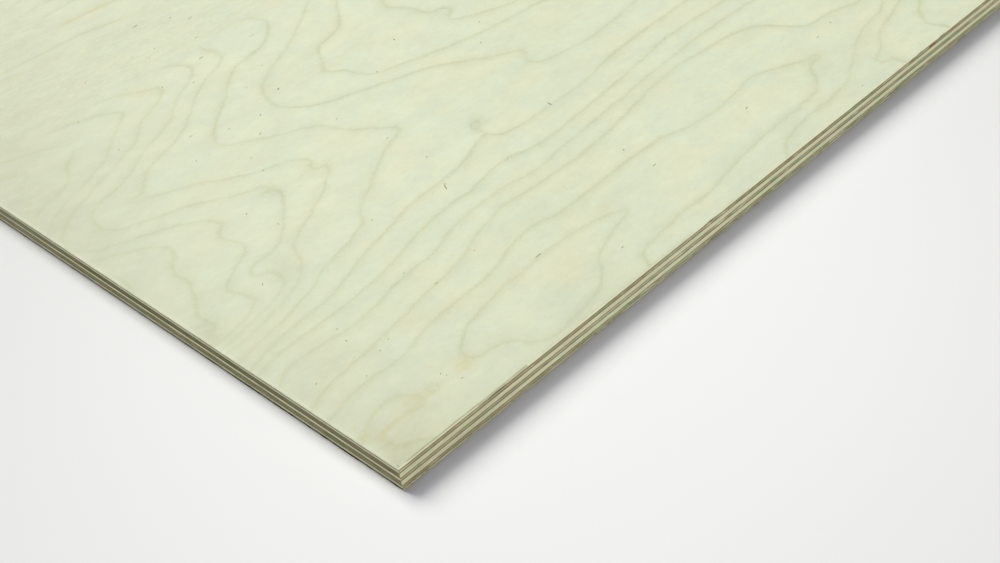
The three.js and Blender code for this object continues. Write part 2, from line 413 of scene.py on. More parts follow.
def linear(colour):
    """A colour of sRGB levels as the linear colour that a socket takes."""
    shares = [level / 255 for level in colour]
    made = [s / 12.92 if s <= 0.04045 else ((s + 0.055) / 1.055) ** 2.4 for s in shares]
    return (*made, 1.0)


# ---------------------------------------------------------------- smooth chance

LATTICE = (197, 89)       # how many random values the noise has, along and across, and how
LATTICE_REACH = 2.2       # far from 0 they go


def smooth_noise(u, v, cell, seed):
    """Smooth random hills from about -1 to 1, each about cell = (length, width) mm across."""
    lattice = np.random.default_rng(seed).uniform(-LATTICE_REACH, LATTICE_REACH, LATTICE)
    x, y = np.broadcast_arrays(np.asarray(u) / cell[0], np.asarray(v) / cell[1])
    column, row = np.floor(x).astype(int), np.floor(y).astype(int)
    across, up = spline_weights(x - column), spline_weights(y - row)
    total = np.zeros(x.shape)
    for i in range(4):
        for j in range(4):
            value = lattice[(column + i) % LATTICE[0], (row + j) % LATTICE[1]]
            total += across[i] * up[j] * value
    return total


def spline_weights(t):
    """The weights of the four lattice points round a place, for a cubic B-spline."""
    return ((1 - t) ** 3 / 6, (3 * t**3 - 6 * t**2 + 4) / 6,
            (-3 * t**3 + 3 * t**2 + 3 * t + 1) / 6, t**3 / 6)


def smooth_step(low, high, value):
    share = np.clip((value - low) / (high - low), 0, 1)
    return share * share * (3 - 2 * share)


# ---------------------------------------------------------------- the field of growth rings


def natural_rings(u, v, seed):
    """The ring field of a veneer peeled from a log: it swells once each turn, and wanders."""

    def waves(name, u, v):
        height, cell, number = WAVES[name]
        return height * smooth_noise(u, v, cell, seed + number)

    bent_v = v + waves("across", u, v) + waves("small_across", u, v)
    bent_u = u + waves("along", u, v)
    turn = 2 * math.pi * (bent_v - PEEL_START) / PEEL_TURN + waves("turn", u, 0)
    field = RING_MEAN - RING_SWING * (1 + waves("swing", u, v)) * np.cos(turn)
    field += waves("broad", bent_u, bent_v)
    field += waves("middling", bent_u, bent_v)
    field += waves("fine", u, v)
    return field


def spline_kernel(squared):
    return 0.5 * squared * np.log(np.maximum(squared, 1e-9))


def fit_surface(places, values):
    """The thin-plate surface through values at places: what each place adds, then a plane."""
    count = len(places)
    squared = ((places[:, None] - places[None]) ** 2).sum(2)
    system = np.zeros((count + 3, count + 3))
    system[:count, :count] = spline_kernel(squared) + RING_SMOOTHING * np.eye(count)
    system[:count, count] = 1
    system[:count, count + 1:] = places
    system[count:, :count] = system[:count, count:].T
    return np.linalg.solve(system, np.concatenate([values, np.zeros(3)]))


def curve_through(points):
    """Places every LINE_STEP or so along a smooth curve through the points."""
    ends = np.array([points[0], *points, points[-1]], float)
    places = [points[0]]
    for before, start, end, after in zip(ends, ends[1:], ends[2:], ends[3:]):
        steps = max(1, round(math.dist(start, end) / LINE_STEP))
        for t in np.arange(1, steps + 1) / steps:
            rise = (end - before) * t + (2 * before - 5 * start + 4 * end - after) * t**2
            places.append(start + 0.5 * (rise + (3 * start - before - 3 * end + after) * t**3))
    return places


def surface_height(places, weights, u, v):
    plane = weights[len(places):]
    height = plane[0] + plane[1] * u + plane[2] * v
    for (pu, pv), weight in zip(places, weights):
        height += weight * spline_kernel((u - pu) ** 2 + (v - pv) ** 2)
    return height


def seen_share(u, v):
    """1 where the camera sees the face, fading to 0 past the lines that bound that part."""
    past = np.zeros(np.broadcast(u, v).shape)
    for (pu, pv), heading in FADE_LINES:
        turn = math.radians(heading)
        past = np.maximum(past, (u - pu) * math.cos(turn) + (v - pv) * math.sin(turn))
    return 1 - smooth_step(0, FADE_LENGTH, past)


class FaceRings:
    """The face's ring field: the drawn lines near the corner, and a natural field elsewhere."""

    def __init__(self):
        lines = RING_LINES + BETWEEN_LINES
        drawn = [(level, place) for level, line in lines for place in curve_through(line)]
        self.places = np.array([place for _, place in drawn]) / RING_UNIT
        self.weights = fit_surface(self.places, np.array([level for level, _ in drawn], float))

    def __call__(self, u, v):
        field = natural_rings(u, v, 40)
        share = seen_share(u, v)
        near = share > 0
        drawn = surface_height(self.places, self.weights, u[near] / RING_UNIT, v[near] / RING_UNIT)
        field[near] += share[near] * (drawn - field[near])
        return field


def back_rings(u, v):
    return natural_rings(u, v, 91)


SLOPE_STEP = 1.5


def slope_of(field, u, v, height):
    """How steeply the field rises, per mm."""
    rise_u = (field(u + SLOPE_STEP, v) - height) / SLOPE_STEP
    rise_v = (field(u, v + SLOPE_STEP) - height) / SLOPE_STEP
    return np.hypot(rise_u, rise_v)


def soft_marks(u, v, marks):
    """The marks' strength at each place, fading away from their lines."""
    total = np.zeros(u.shape)
    for strength, width, line in marks:
        nearest = np.full(u.shape, np.inf)
        for (au, av), (bu, bv) in zip(line, line[1:]):
            du, dv = bu - au, bv - av
            along = np.clip(((u - au) * du + (v - av) * dv) / (du * du + dv * dv), 0, 1)
            nearest = np.minimum(nearest, (u - au - along * du) ** 2 + (v - av - along * dv) ** 2)
        total = np.maximum(total, strength * np.exp(-nearest / width**2))
    return total


# ---------------------------------------------------------------- outlines and edges


class Outline:
    """The points round the sheet, anticlockwise from the near corner, for every ply alike."""

    def __init__(self):
        near_long = self.stations(LENGTH, FINE_LONG)
        near_short = np.append(WIDTH, self.stations(WIDTH, FINE_SHORT)[:0:-1])
        far_short = np.arange(0, WIDTH, COARSE_STEP)
        far_long = LENGTH - np.arange(0, LENGTH, COARSE_STEP)
        # Each side's places along its own axis, their u, their v and the way inwards.
        sides = [
            (near_long, near_long, 0, (0, 1)),
            (far_short, LENGTH, far_short, (-1, 0)),
            (far_long, far_long, WIDTH, (0, -1)),
            (near_short, 0, near_short, (1, 0)),
        ]
        self.along = np.concatenate([along for along, *_ in sides])
        self.side = np.repeat(range(len(sides)), [len(along) for along, *_ in sides])
        self.places = np.concatenate(
            [np.column_stack(np.broadcast_arrays(u, v)) for _, u, v, _ in sides])
        self.inward = np.array([way for *_, way in sides], float)[self.side]
        corners = np.flatnonzero(np.diff(self.side, prepend=-1))
        self.inward[corners] = [(1, 1), (-1, 1), (-1, -1), (1, -1)]
        self.count = len(self.side)

    @staticmethod
    def stations(length, fine):
        return np.concatenate([np.arange(0, fine, FINE_STEP), np.arange(fine, length, COARSE_STEP)])

    @staticmethod
    def progress(places):
        """How far round the sheet places lie: 0 to 1 on the first side, 1 to 2 on the next."""
        u, v = places[:, 0] - LENGTH / 2, places[:, 1] - WIDTH / 2
        x, y = u / np.abs(u).max(), v / np.abs(v).max()
        on_side = np.argmax(np.stack([-y, x, y, -x]), 0)
        share = np.choose(on_side, [(1 + x) / 2, (1 + y) / 2, (1 - x) / 2, (1 - y) / 2])
        return on_side + share


OUTLINE = Outline()
LONG_EDGE = 0             # the sides of it that the camera sees
SHORT_EDGE = 3


def chip_depth(chips):
    """How far ragged chips go into an edge at each place along it."""
    depth = np.zeros(OUTLINE.count)
    for start, end, deepest in chips:
        share = (OUTLINE.along - start) / (end - start)
        ragged = np.interp(share, RAGGED_ALONG, RAGGED_SHARE, left=0, right=0)
        depth = np.maximum(depth, ragged * deepest)
    return depth


def edge_depth(z, grain_along_x, seed, fray=(0.0, 0.0), chipped_edge=LONG_EDGE, chips=()):
    """How far the sawn edge lies inside the outline, at height z, all the way round."""
    long_grain = (OUTLINE.side % 2 == 0) == grain_along_x
    level = z + SIDES_APART * OUTLINE.side
    streaks = smooth_noise(OUTLINE.along, level, (11, 0.3), seed)
    pits = smooth_noise(OUTLINE.along, level, (1.6, 0.5), seed + 1)
    tears = smooth_noise(OUTLINE.along, level, (7, 1.2), seed + 2)
    fringe = smooth_noise(OUTLINE.along, level, (2.3, 0.6), seed + 3) + tears
    depth = np.where(long_grain, LONG_GRAIN_DEPTH * (0.5 + 0.5 * streaks),
                     END_GRAIN_DEPTH * (0.35 + 0.4 * pits + 0.25 * tears))
    depth = np.maximum(depth, 0) + np.where(long_grain, *fray) * np.clip(0.25 + 0.6 * fringe, 0, 1)
    return depth + np.where(OUTLINE.side == chipped_edge, chip_depth(chips), 0)


def grid_lines(length, fine, fine_cell, cell):
    """A grid's lines from rim to rim, fine near the corner and wider further on."""
    start, end = RIM, length - RIM
    turn = min(max(fine, start), end)
    near = np.linspace(start, turn, max(1, round((turn - start) / fine_cell)) + 1)
    far = np.linspace(turn, end, max(1, round((end - turn) / cell)) + 1)
    return np.unique(np.concatenate([near, far]))


def zip_loops(outer, inner, outer_progress, inner_progress, upward):
    """The triangles between two closed loops of points that run the same way round. A point's
    progress is how far round it lies, from 0 to 4."""
    once_round, past = 4.0, 9.0
    outer_next = [*outer_progress[1:], once_round, past]
    inner_next = [*inner_progress[1:], once_round, past]
    faces = []
    i = j = 0
    while i < len(outer) or j < len(inner):
        a, b = outer[i % len(outer)], inner[j % len(inner)]
        if outer_next[i] <= inner_next[j]:
            face = (a, outer[(i + 1) % len(outer)], b)
            i += 1
        else:
            face = (a, inner[(j + 1) % len(inner)], b)
            j += 1
        faces.append(face if upward else face[::-1])
    return faces


class PlyMesh:
    """The closed mesh of one ply: its sawn edge, in rows, and a grid on each face."""

    def __init__(self, heights, depths, top_lines, bottom_lines):
        self.points = []
        self.faces = []
        self.face_slots = []
        self.count = 0
        rows = [self.add(OUTLINE.places + OUTLINE.inward * depth[:, None], z)
                for z, depth in zip(heights, depths)]
        for above, below in zip(rows, rows[1:]):
            after_above, after_below = np.roll(above, -1), np.roll(below, -1)
            quads = np.column_stack([above, below, after_below, after_above])
            self.add_faces(quads.tolist(), EDGE_SLOT)
        self.cap(rows[0], heights[0], top_lines, True)
        self.cap(rows[-1], heights[-1], bottom_lines, False)
        self.points = np.concatenate(self.points)

    def add(self, places, z):
        """Adds points at height z, and gives their numbers."""
        self.points.append(np.column_stack([places, np.full(len(places), z)]))
        self.count += len(places)
        return np.arange(self.count - len(places), self.count)

    def add_faces(self, faces, slot):
        self.faces += faces
        self.face_slots += [slot] * len(faces)

    def cap(self, rim, z, lines, upward):
        """Closes the mesh at height z with a grid, joined to the rim."""
        us, vs = lines
        grid_u, grid_v = np.meshgrid(us, vs, indexing="ij")
        places = np.column_stack([grid_u.ravel(), grid_v.ravel()])
        grid = self.add(places, z).reshape(len(us), len(vs))
        quads = np.stack([grid[:-1, :-1], grid[1:, :-1], grid[1:, 1:], grid[:-1, 1:]], -1)
        quads = quads.reshape(-1, 4)
        self.add_faces((quads if upward else quads[:, ::-1]).tolist(), FACE_SLOT)
        loop = np.concatenate([grid[:-1, 0], grid[-1, :-1], grid[:0:-1, -1], grid[0, :0:-1]])
        loop_progress = OUTLINE.progress(places[loop - grid[0, 0]])
        rim_progress = OUTLINE.progress(OUTLINE.places)
        self.add_faces(zip_loops(rim, loop, rim_progress, loop_progress, upward), FACE_SLOT)


def to_metres(points):
    """Points in millimetres from the corner, as places in the frame."""
    return points * MM + np.array(CAD_LOW)


def add_object(name, data):
    made = bpy.data.objects.new(name, data)
    bpy.context.scene.collection.objects.link(made)
    return made


def make_piece(name, points, faces, materials, face_slots=None, attributes=None, smooth=True):
    """A piece of the sheet from points in millimetres. attributes are numbers at its points."""
    mesh = bpy.data.meshes.new(name)
    mesh.from_pydata(to_metres(points).tolist(), [], faces)
    if face_slots is not None:
        mesh.polygons.foreach_set("material_index", face_slots)
    mesh.polygons.foreach_set("use_smooth", [smooth] * len(mesh.polygons))
    for title, values in (attributes or {}).items():
        made = mesh.attributes.new(title, "FLOAT", "POINT")
        made.data.foreach_set("value", np.asarray(values, np.float32))
    mesh.validate()
    mesh.update()
    for material in materials:
        mesh.materials.append(material)
    piece = add_object(name, mesh)
    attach(piece, "root")
    return piece


# ---------------------------------------------------------------- materials

# How the ring lines are drawn, in mm and as shares of the late wood's colour.
SLOWEST_RISE = 0.012      # rings per mm, which keeps a line from spreading where the field is flat
LINE_WANDER = (3.2, 3.0)  # how far a line strays in small and in broad waves
WIDEST_LINE = 1.25        # how much wider lines are where they lie far apart
LINE_HALF_WIDTH = 0.85
LINE_SHARE = 0.35
HALO_HALF_WIDTH = 2.4
HALO_SHARE = 0.12
LINE_SHADE = 7.0          # over this distance the wood darkens towards a line
SHADE_SHARE = 0.17

# The patterns of the short edges lie this many mm away from the long edges'.
APART = 500.0


class Wire:
    """A node's output. Arithmetic on it makes Math nodes."""

    def __init__(self, nodes, socket):
        self.nodes = nodes
        self.socket = socket

    def __add__(self, other):
        return self.nodes.math("ADD", self, other)

    def __sub__(self, other):
        return self.nodes.math("SUBTRACT", self, other)

    def __rsub__(self, other):
        return self.nodes.math("SUBTRACT", other, self)

    def __mul__(self, other):
        return self.nodes.math("MULTIPLY", self, other)

    def __truediv__(self, other):
        return self.nodes.math("DIVIDE", self, other)


class Nodes:
    """A node tree, built by short calls. An input is a number, a vector, a colour or a Wire."""

    def __init__(self, tree):
        self.tree = tree
        tree.nodes.clear()

    def node(self, kind, inputs, **settings):
        made = self.tree.nodes.new(kind)
        for key, value in settings.items():
            setattr(made, key, value)
        for key, value in inputs.items():
            if isinstance(value, Wire):
                self.tree.links.new(value.socket, made.inputs[key])
            else:
                made.inputs[key].default_value = value
        return made

    def wire(self, kind, inputs, output=0, **settings):
        """A new node's output."""
        return Wire(self, self.node(kind, inputs, **settings).outputs[output])

    def math(self, operation, a, b=0.0):
        return self.wire("ShaderNodeMath", {0: a, 1: b}, operation=operation)


class Shader(Nodes):
    """One material. place is the place that it colours, in millimetres from the near corner."""

    def __init__(self, name):
        self.material = bpy.data.materials.new(name)
        self.material.use_nodes = True
        super().__init__(self.material.node_tree)
        place = self.wire("ShaderNodeTexCoord", {}, "Object")
        self.place = self.scaled(self.vector("SUBTRACT", place, tuple(CAD_LOW)), 1 / MM)

    def attribute(self, name):
        return self.wire("ShaderNodeAttribute", {}, "Fac", attribute_name=name)

    def vector(self, operation, a, b):
        return self.wire("ShaderNodeVectorMath", {0: a, 1: b}, operation=operation)

    def scaled(self, vector, factor):
        """A vector or a colour times a number."""
        return self.wire("ShaderNodeVectorMath", {0: vector, "Scale": factor}, operation="SCALE")

    def parts(self, vector):
        outputs = self.node("ShaderNodeSeparateXYZ", {0: vector}).outputs
        return [Wire(self, output) for output in outputs]

    def joined(self, x, y, z):
        return self.wire("ShaderNodeCombineXYZ", {0: x, 1: y, 2: z})

    def noise(self, size, place=None, detail=3.0, roughness=0.5, offset=0.0, distortion=0.0):
        """Noise from 0 to 1 whose features are size = (x, y, z) mm."""
        scaled = self.vector("MULTIPLY", place or self.place, tuple(1 / s for s in size))
        if offset:
            scaled = self.vector("ADD", scaled, (offset, offset * 1.7, offset * 0.6))
        inputs = {"Vector": scaled, "Scale": 1.0, "Detail": detail, "Roughness": roughness,
                  "Distortion": distortion}
        return self.wire("ShaderNodeTexNoise", inputs)

    def ramp(self, value, low, high, to_low=0.0, to_high=1.0, kind="SMOOTHSTEP"):
        """value from low..high to to_low..to_high, held at the ends."""
        inputs = {"Value": value, "From Min": low, "From Max": high, "To Min": to_low, "To Max": to_high}
        return self.wire("ShaderNodeMapRange", inputs, "Result", interpolation_type=kind)

    def line(self, value, low, high, to_low, to_high):
        """The same, along a straight line."""
        return self.ramp(value, low, high, to_low, to_high, "LINEAR")

    def mix(self, share, a, b):
        """Colour a, turning into b as share goes from 0 to 1. A tuple is a colour's sRGB levels."""
        a, b = (linear(colour) if isinstance(colour, tuple) else colour for colour in (a, b))
        return self.wire("ShaderNodeMix", {0: share, 6: a, 7: b}, 2, data_type="RGBA")

    def toned(self, colour, noise, darkest, lightest, reach=0.25):
        """The colour, darker and lighter as noise goes up to reach from its middle."""
        return self.scaled(colour, self.line(noise, 0.5 - reach, 0.5 + reach, darkest, lightest))

    def finish(self, colour, roughness, specular, height=None, relief=0.0):
        """The material, with height as a bump that is relief metres deep."""
        inputs = {"Base Color": colour, "Roughness": roughness, "Specular IOR Level": specular}
        if height:
            bump = {"Strength": 1.0, "Distance": relief, "Height": height}
            inputs["Normal"] = self.wire("ShaderNodeBump", bump)
        self.node("ShaderNodeOutputMaterial", {"Surface": self.wire("ShaderNodeBsdfPrincipled", inputs)})
        return self.material


def bell(s, distance, half_width):
    """1 at no distance, falling off as a bell curve."""
    near = distance / half_width
    return s.math("POWER", math.e, near * near * -1.0)


def ring_line_shade(s):
    """How strongly a growth ring's late wood shows at each place, from 0 to about 0.8."""
    slope = s.attribute("slope")
    rise = s.math("MAXIMUM", slope, SLOWEST_RISE)
    fine = s.noise((1.3, 2.6, 1), detail=2, roughness=0.6) - 0.5
    broad = s.noise((12, 6, 1), detail=3, offset=4.4) - 0.5
    wander = fine * LINE_WANDER[0] + broad * LINE_WANDER[1]
    share = s.math("FRACT", s.attribute("ring") + wander * rise)
    after = share / rise
    before = (1.0 - share) / rise
    lean = s.attribute("lean")
    shade_before = s.ramp(before, 0, LINE_SHADE, 1, 0) * (1.0 - lean)
    shade_after = s.ramp(after, 0, LINE_SHADE, 1, 0) * lean
    near = s.math("MINIMUM", after, before) / s.ramp(slope, 0.03, 0.12, WIDEST_LINE, 1.0)
    line = bell(s, near, LINE_HALF_WIDTH) * LINE_SHARE
    line = line + bell(s, near, HALO_HALF_WIDTH) * HALO_SHARE
    line = line + s.math("MAXIMUM", shade_before, shade_after) * SHADE_SHARE
    patchy = s.ramp(s.noise((50, 22, 1), detail=3, offset=3.1), 0.3, 0.7, 0.62, 1.0)
    crowded = s.ramp(slope, 0.07, 0.3, 1.0, 0.45)
    lost = s.ramp(s.attribute("stripes"), 0.0, 1.0, 1.0, 0.12)
    return line * lost * (patchy * crowded)


def knot_shade(s):
    """The small knot near the corner: a dark ring, and a little shade inside and under it."""
    (centre_u, centre_v), half_length, half_width, heading = KNOT
    moved = {"Vector": s.vector("SUBTRACT", s.place, (centre_u, centre_v, 0)),
             "Angle": -math.radians(heading)}
    turned = s.wire("ShaderNodeVectorRotate", moved, rotation_type="Z_AXIS")
    round_place = s.vector("MULTIPLY", turned, (1 / half_length, 1 / half_width, 0))
    wobble = (s.noise((1.6, 1.6, 1), detail=2, offset=3.3) - 0.5) * 0.9
    away = s.wire("ShaderNodeVectorMath", {0: round_place}, "Value", operation="LENGTH") + wobble
    ring = bell(s, away - 1.0, 0.34) * 0.3
    inside = s.ramp(away, 0.75, 1.0, 0.2, 0.0)
    around = s.ramp(away, 1.0, 3.0, 0.13, 0.0)
    return s.math("MAXIMUM", ring, s.math("MAXIMUM", inside, around))


def face_material(name, knots):
    """Sanded rotary-cut birch: ring lines, cloudy cream and mint, stripes, stains and specks."""
    s = Shader(name)
    cloud = s.ramp(s.noise((38, 28, 1), detail=5, roughness=0.68), 0.36, 0.64)
    wood = s.mix(cloud, CREAM, MINT)
    drift = s.ramp(s.noise((130, 70, 1), detail=2, offset=8.4), 0.4, 0.7)
    wood = s.mix(drift * 0.22, wood, STRAW)
    # Painted shade: darker and duller by the near corner and along the edges.
    wood = s.mix(s.attribute("painted_shade"), wood, PAINTED_SHADE_TONE)

    hue = s.ramp(s.noise((30, 18, 1), detail=3, offset=5.7), 0.5, 0.75)
    wood = s.mix(ring_line_shade(s), wood, s.mix(hue, LATE_WOOD, TAN_LINE))

    dashes = s.noise((9, 2.7, 1), detail=3, roughness=0.6, offset=1.9)
    dashes = dashes + s.noise((1.6, 2.4, 1), detail=1, offset=8.8) * 0.5
    wood = s.mix(s.ramp(dashes, 0.6, 0.95) * s.attribute("stripes") * 0.12, wood, OLIVE)
    broken = s.ramp(s.noise((7, 4, 1), detail=4, roughness=0.65, offset=7.2), 0.32, 0.68, 0.3, 1.0)
    wood = s.mix(s.attribute("tan") * broken * 0.62, wood, TAN)
    wood = s.mix(s.attribute("olive") * broken * 0.75, wood, OLIVE)
    if knots:
        wood = s.mix(knot_shade(s), wood, KNOT_WOOD)

    hint = s.noise((3, 4, 1), detail=4, roughness=0.8, offset=4.7)
    wood = s.mix(s.ramp(hint, 0.52, 0.8, 0.0, 0.24), wood, TAN)
    wood = s.mix(s.ramp(hint, 0.48, 0.2, 0.0, 0.24), wood, LEAF)
    wide_hint = s.noise((13, 9, 1), detail=3, offset=12.4)
    wood = s.mix(s.ramp(wide_hint, 0.52, 0.75, 0.0, 0.12), wood, STRAW)
    wood = s.mix(s.ramp(wide_hint, 0.48, 0.25, 0.0, 0.25), wood, MINT)

    wool = s.noise((4.5, 3.4, 1), detail=4, roughness=0.7, offset=2.3, distortion=0.4)
    fibre = s.noise((9, 0.9, 1), detail=3, roughness=0.6, offset=6.1)
    patch = s.noise((19, 13, 1), detail=2, offset=6.6)
    level = s.line(wool, 0.25, 0.75, 0.955, 1.025) + s.line(fibre, 0.25, 0.75, -0.012, 0.012)
    wood = s.scaled(wood, level + s.line(patch, 0.3, 0.7, -0.024, 0.036))
    speck = s.noise((1.5, 1.1, 1), detail=2, roughness=0.6, offset=9.9)
    wood = s.mix(s.ramp(speck, 0.68, 0.8, 0.0, 0.3), wood, OLIVE)
    wood = s.mix(s.ramp(speck, 0.3, 0.18, 0.0, 0.45), wood, PALE_WOOD_AND_ARRIS_HIGHLIGHT)
    return s.finish(wood, s.line(wool, 0.2, 0.8, 0.52, 0.66), 0.3, fibre, 0.00004)


class EdgeShader(Shader):
    """A material for sawn edges: along runs along whichever edge a place is on."""

    def __init__(self, name):
        super().__init__(name)
        x, y, self.height = self.parts(self.place)
        from_long = self.math("MINIMUM", y, WIDTH - y)
        from_short = self.math("MINIMUM", x, LENGTH - x)
        self.on_short = self.math("GREATER_THAN", from_long, from_short)
        self.on_long = 1.0 - self.on_short
        self.along = x * self.on_long + y * self.on_short
        self.flat = self.joined(self.along, self.on_short * APART, self.height)

    def edge_noise(self, length, height, offset, detail=3.0):
        return self.noise((length, 1, height), self.flat, detail, 0.6, offset)

    def by_edge(self, long, short):
        """One number on the long edges and another on the short ones."""
        return self.line(self.on_short, 0, 1, long, short)

    def slanted_checks(self, offset):
        """The short slanting cracks that a veneer lathe leaves across the grain."""
        place = self.joined(self.along + self.height * 1.4, 0.0, self.height * 0.3)
        return self.ramp(self.noise((0.9, 1, 1), place, detail=2, offset=offset), 0.6, 0.74)

    def stained(self, wood, stains, dash):
        """The wood with its soft patches: (which edge, start, end, colour, share)."""
        wander = (dash - 0.5) * 0.9
        for edge, start, end, colour, share in stains:
            away = self.math("ABSOLUTE", self.along - (start + end) / 2) / ((end - start) / 2)
            on_edge = self.on_long if edge == "long" else self.on_short
            wood = self.mix(self.ramp(away + wander, 0.75, 1.15, share, 0) * on_edge, wood, colour)
        return wood


def edge_material(name, grain_along_x, thickness, seed, grain, ends, borders, stains):
    """A ply's sawn edge. grain are two colours where the saw ran with the grain and ends three
    where it cut across it. borders say how strongly it turns dark by the glue above and
    below. stains are soft patches along an edge."""
    s = EdgeShader(name)
    end_share = s.on_short if grain_along_x else s.on_long

    streak = s.edge_noise(22, 0.2, seed, 4)
    with_grain = s.mix(s.ramp(s.edge_noise(12, 1.5, seed + 1.3, 4), 0.43, 0.57), *grain)
    with_grain = s.toned(with_grain, streak, 0.84, 1.12)
    with_grain = s.toned(with_grain, s.edge_noise(7, 0.9, seed + 5.2), 0.88, 1.12)

    blotch = s.edge_noise(12, 1.5, seed + 2.6, 4)
    dash = s.edge_noise(6, 0.9, seed + 8.1, 4)
    speck = s.edge_noise(0.7, 0.5, seed + 3.9)
    across = s.mix(s.ramp(blotch, 0.4, 0.5), ends[0], ends[1])
    across = s.mix(s.ramp(blotch, 0.54, 0.64), across, ends[2])
    across = s.toned(s.toned(across, dash, 0.58, 1.4), speck, 0.86, 1.12)
    across = s.scaled(across, 1.0 - s.slanted_checks(seed) * 0.2)
    wood = s.stained(s.mix(end_share, with_grain, across), stains, dash)

    share = s.attribute("share")
    ragged = (s.edge_noise(2.5, 0.4, seed + 6.5) - 0.5) * 0.4
    below_glue = (1.0 - share) * thickness + ragged
    above_glue = share * thickness + ragged
    border = s.math("MAXIMUM", s.ramp(below_glue, 0.08, 0.42, borders[0], 0.0),
                    s.ramp(above_glue, 0.08, 0.46, borders[1], 0.0))
    wood = s.mix(border * s.line(end_share, 0, 1, 0.6, 1.0), wood, BY_GLUE)
    return s.finish(wood, s.line(speck, 0.2, 0.8, 0.7, 0.9), 0.2, streak * 0.6 + dash * 0.4, 0.0001)


def veneer_edge_material(name, seed, from_face, pale_to, grain, ends, dark, stains=()):
    """An outer veneer's sawn edge: pale near its face, down to the share pale_to of its
    thickness, and dark by the glue. On the face veneer that pale band is pale wood with a painted
    highlight, reaching further down and brighter on the short edges. from_face says that the face is up."""
    s = EdgeShader(name)
    streak = s.edge_noise(20, 0.16, seed, 4)
    dash = s.edge_noise(4, 0.3, seed + 8.1, 4)
    blotch = s.ramp(s.edge_noise(9, 0.8, seed + 2.6), 0.4, 0.62)
    long_wood = s.toned(s.mix(blotch, *grain), streak, 0.88, 1.1)
    long_wood = s.toned(long_wood, dash, 0.86, 1.1, 0.2)
    # For the back veneer the end-grain colours are partly painted shade by the floor.
    end_wood = s.toned(s.mix(blotch, *ends), dash, 0.75, 1.22)
    wood = s.stained(s.mix(s.on_short, long_wood, end_wood), stains, dash)

    share = s.attribute("share")
    down = 1.0 - share if from_face else share
    down = down + (dash - 0.5) * s.by_edge(0.5, 0.25)
    # Painted highlight: on the short edges the pale band reaches further down, and the colour near the
    # face is brighter.
    pale = s.ramp(down - s.on_short * 0.27, pale_to, pale_to + 0.25, 1, 0)
    pale = pale * s.by_edge(0.9, 0.9 if from_face else 0.0)
    near_face = s.mix(s.on_short, PALE_WOOD_AND_ARRIS_HIGHLIGHT, SHORT_ARRIS_WOOD_AND_HIGHLIGHT) if from_face else PALE_GRAIN_DIM
    wood = s.mix(pale, wood, near_face)
    wood = s.mix(s.ramp(down, 0.72, 0.95, 0.0, 0.9), wood, dark)
    wood = s.mix(s.attribute("olive") * 0.3, wood, OLIVE)
    specular = 0.2 if from_face else 0.0
    return s.finish(wood, s.line(streak, 0.2, 0.8, 0.66, 0.85), specular, streak, 0.00006)


def glue_material():
    """Cured phenolic resin: brown, a little uneven."""
    s = Shader("phenolic_glue")
    patch = s.noise((14, 14, 1), detail=4, roughness=0.6)
    colour = s.mix(s.ramp(patch, 0.35, 0.65), *GLUE_COLOURS)
    return s.finish(colour, s.line(patch, 0.3, 0.7, 0.5, 0.7), 0.3, patch, 0.00003)


def fleck_material():
    """Pith flecks, from pale to dark by the attribute tone."""
    s = Shader("pith_fleck")
    grain = s.noise((1.4, 0.5, 1), detail=3)
    colour = s.toned(s.mix(s.attribute("tone"), *FLECK_COLOURS), grain, 0.85, 1.15, 0.2)
    return s.finish(colour, 0.75, 0.2, grain, 0.00003)


def splinter_material(name, colours):
    """Loose birch fibres."""
    s = Shader(name)
    streak = s.noise((6, 0.3, 0.3), detail=3)
    colour = s.mix(s.ramp(streak, 0.3, 0.7), *colours)
    return s.finish(colour, 0.7, 0.2, streak, 0.00004)


# ---------------------------------------------------------------- the pieces


def ply_range(node):
    """The heights of a ply's underside and top."""
    low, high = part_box(node)
    return (low.z - CAD_LOW.z) / MM, (high.z - CAD_LOW.z) / MM


def face_lines(fine, fine_cell, cell):
    """The lines of a face's grid, along and across."""
    return (grid_lines(LENGTH, fine[0], fine_cell[0], cell[0]),
            grid_lines(WIDTH, fine[1], fine_cell[1], cell[1]))


def even_lines(cell):
    return face_lines((0, 0), cell, cell)


def inner_ply(node, grain_along_x, seed, pattern_seed, *look):
    """A ply between the veneers: only its edge shows."""
    bottom, top = ply_range(node)
    heights = np.linspace(top, bottom, math.ceil((top - bottom) / ROW_HEIGHT) + 1)
    depths = [edge_depth(z, grain_along_x, seed) for z in heights]
    mesh = PlyMesh(heights, depths, even_lines(HIDDEN_CELL), even_lines(HIDDEN_CELL))
    share = (mesh.points[:, 2] - bottom) / (top - bottom)
    edge = edge_material(node + "_edge", grain_along_x, top - bottom, pattern_seed, *look)
    piece = make_piece(node + "_wood", mesh.points, mesh.faces, [edge],
                       attributes={"share": share})
    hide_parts(node)


def veneer_rows(thickness, top_side):
    """Each row of an outer veneer's edge: how far it is below the face, and how far in."""
    size = 1.0 if top_side else BACK_ARRIS
    turn = np.radians(ARRIS_TURNS)
    rounded = size * ARRIS_DOWN * (1 - np.cos(turn))
    inward = size * ARRIS_IN * (1 - np.sin(turn))
    below = np.linspace(rounded[-1], thickness, VENEER_ROWS)[1:]
    drops = np.concatenate([[0] * len(GUARDS), rounded, below])
    on_long = np.where(OUTLINE.side % 2 == 0, 1.0, SHORT_ARRIS)
    setback = [inward[0] + guard + 0 * on_long for guard in GUARDS]
    setback += [on_long * way for way in inward] + [0 * on_long for _ in below]
    return (drops, setback) if top_side else (drops[::-1], setback[::-1])


